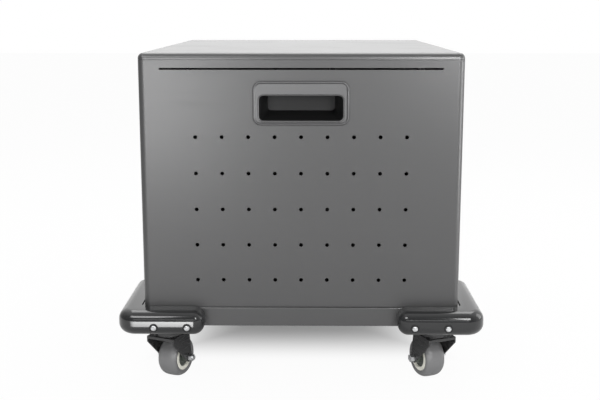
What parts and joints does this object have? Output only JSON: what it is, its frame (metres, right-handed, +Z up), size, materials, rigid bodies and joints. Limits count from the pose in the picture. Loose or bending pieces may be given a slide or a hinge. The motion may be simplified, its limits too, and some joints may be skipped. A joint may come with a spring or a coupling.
{
  "type": "laptop charging cart",
  "caption": "Low steel charging cart on swivel castors with a lift-up lid, upright device bays, vented ends, recessed handles and rounded corner bumpers.",
  "frame": {"origin": "on the floor, under the middle of the cart", "axes": "+Z up, -Y out of the pictured end panel, +X to its right"},
  "size_m": [0.61, 0.74, 0.566],
  "materials": {
    "body_paint": "satin metallic grey powder coat",
    "inner_paint": "satin light grey powder coat",
    "bumper_plastic": "gloss dark grey",
    "handle_plastic": "fine-grained dark grey",
    "fork_paint": "black e-coat",
    "hinge_paint": "satin grey powder coat",
    "zinc": "bright zinc plate",
    "tread_rubber": "dark grey tread",
    "wheel_nylon": "cream nylon",
    "black_plastic": "black moulded",
    "seal_rubber": "black foam"
  },
  "bodies": {
    "cabinet": {"base_tray": "body_paint", "end_panel_front": "body_paint", "end_panel_rear": "body_paint", "side_panel_left": "body_paint", "side_panel_right": "body_paint", "rim_frame": "inner_paint", "lid_seal": "seal_rubber", "handle_cup_front": "handle_plastic", "handle_cup_rear": "handle_plastic", "device_shelf": "inner_paint", "divider_01": "inner_paint", "divider_02": "inner_paint", "divider_03": "inner_paint", "divider_04": "inner_paint", "divider_05": "inner_paint", "divider_06": "inner_paint", "divider_07": "inner_paint", "divider_08": "inner_paint", "divider_09": "inner_paint", "divider_10": "inner_paint", "divider_11": "inner_paint", "charger_partition": "inner_paint", "power_strip": "black_plastic", "mains_inlet": "black_plastic", "lock_barrel": "zinc", "cabinet_leaf_front": "hinge_paint", "cabinet_leaf_rear": "hinge_paint", "hinge_pin_front": "zinc", "hinge_pin_rear": "zinc", "bumper_front_left": "bumper_plastic", "bumper_front_right": "bumper_plastic", "bumper_rear_left": "bumper_plastic", "bumper_rear_right": "bumper_plastic", "castor_plate_front_left": "zinc", "castor_plate_front_right": "zinc", "castor_plate_rear_left": "zinc", "castor_plate_rear_right": "zinc"},
    "lid": {"lid_panel": "body_paint", "lid_liner": "inner_paint", "lid_keeper": "zinc", "lid_leaf_front": "hinge_paint", "lid_leaf_rear": "hinge_paint"},
    "lock": {"lock_cam": "zinc"},
    "switch": {"rocker_switch": "black_plastic"},
    "swivel_front_left": {"castor_fork_front_left": "fork_paint", "castor_axle_front_left": "zinc"},
    "wheel_front_left": {"castor_rim_front_left": "wheel_nylon", "castor_tyre_front_left": "tread_rubber"},
    "swivel_front_right": {"castor_fork_front_right": "fork_paint", "castor_axle_front_right": "zinc"},
    "wheel_front_right": {"castor_rim_front_right": "wheel_nylon", "castor_tyre_front_right": "tread_rubber"},
    "swivel_rear_left": {"castor_fork_rear_left": "fork_paint", "castor_axle_rear_left": "zinc"},
    "wheel_rear_left": {"castor_rim_rear_left": "wheel_nylon", "castor_tyre_rear_left": "tread_rubber"},
    "swivel_rear_right": {"castor_fork_rear_right": "fork_paint", "castor_axle_rear_right": "zinc"},
    "wheel_rear_right": {"castor_rim_rear_right": "wheel_nylon", "castor_tyre_rear_right": "tread_rubber"}
  },
  "joints": [
    {"name": "lid_hinge", "type": "hinge", "parent": "cabinet", "child": "lid", "pos_m": [-0.271, 0, 0.555], "axis": [0, -1, 0], "range_deg": [0, 100]},
    {"name": "lock_turn", "type": "hinge", "parent": "cabinet", "child": "lock", "pos_m": [0.25, 0, 0.499], "axis": [-1, 0, 0], "range_deg": [0, 90]},
    {"name": "switch_rock", "type": "hinge", "parent": "cabinet", "child": "switch", "pos_m": [0.218, 0.33, 0.192], "axis": [1, 0, 0], "range_deg": [0, 20]},
    {"name": "swivel_front_left", "type": "hinge", "parent": "cabinet", "child": "swivel_front_left", "pos_m": [-0.23, -0.298, 0.085], "axis": [0, 0, 1], "continuous": true},
    {"name": "roll_front_left", "type": "hinge", "parent": "swivel_front_left", "child": "wheel_front_left", "pos_m": [-0.22062, -0.27591, 0.035], "axis": [0.9205, -0.3907, 0], "continuous": true},
    {"name": "swivel_front_right", "type": "hinge", "parent": "cabinet", "child": "swivel_front_right", "pos_m": [0.23, -0.298, 0.085], "axis": [0, 0, 1], "continuous": true},
    {"name": "roll_front_right", "type": "hinge", "parent": "swivel_front_right", "child": "wheel_front_right", "pos_m": [0.22062, -0.27591, 0.035], "axis": [0.9205, 0.3907, 0], "continuous": true},
    {"name": "swivel_rear_left", "type": "hinge", "parent": "cabinet", "child": "swivel_rear_left", "pos_m": [-0.23, 0.298, 0.085], "axis": [0, 0, 1], "continuous": true},
    {"name": "roll_rear_left", "type": "hinge", "parent": "swivel_rear_left", "child": "wheel_rear_left", "pos_m": [-0.22062, 0.27591, 0.035], "axis": [-0.9205, -0.3907, 0], "continuous": true},
    {"name": "swivel_rear_right", "type": "hinge", "parent": "cabinet", "child": "swivel_rear_right", "pos_m": [0.23, 0.298, 0.085], "axis": [0, 0, 1], "continuous": true},
    {"name": "roll_rear_right", "type": "hinge", "parent": "swivel_rear_right", "child": "wheel_rear_right", "pos_m": [0.22062, 0.27591, 0.035], "axis": [-0.9205, 0.3907, 0], "continuous": true}
  ]
}
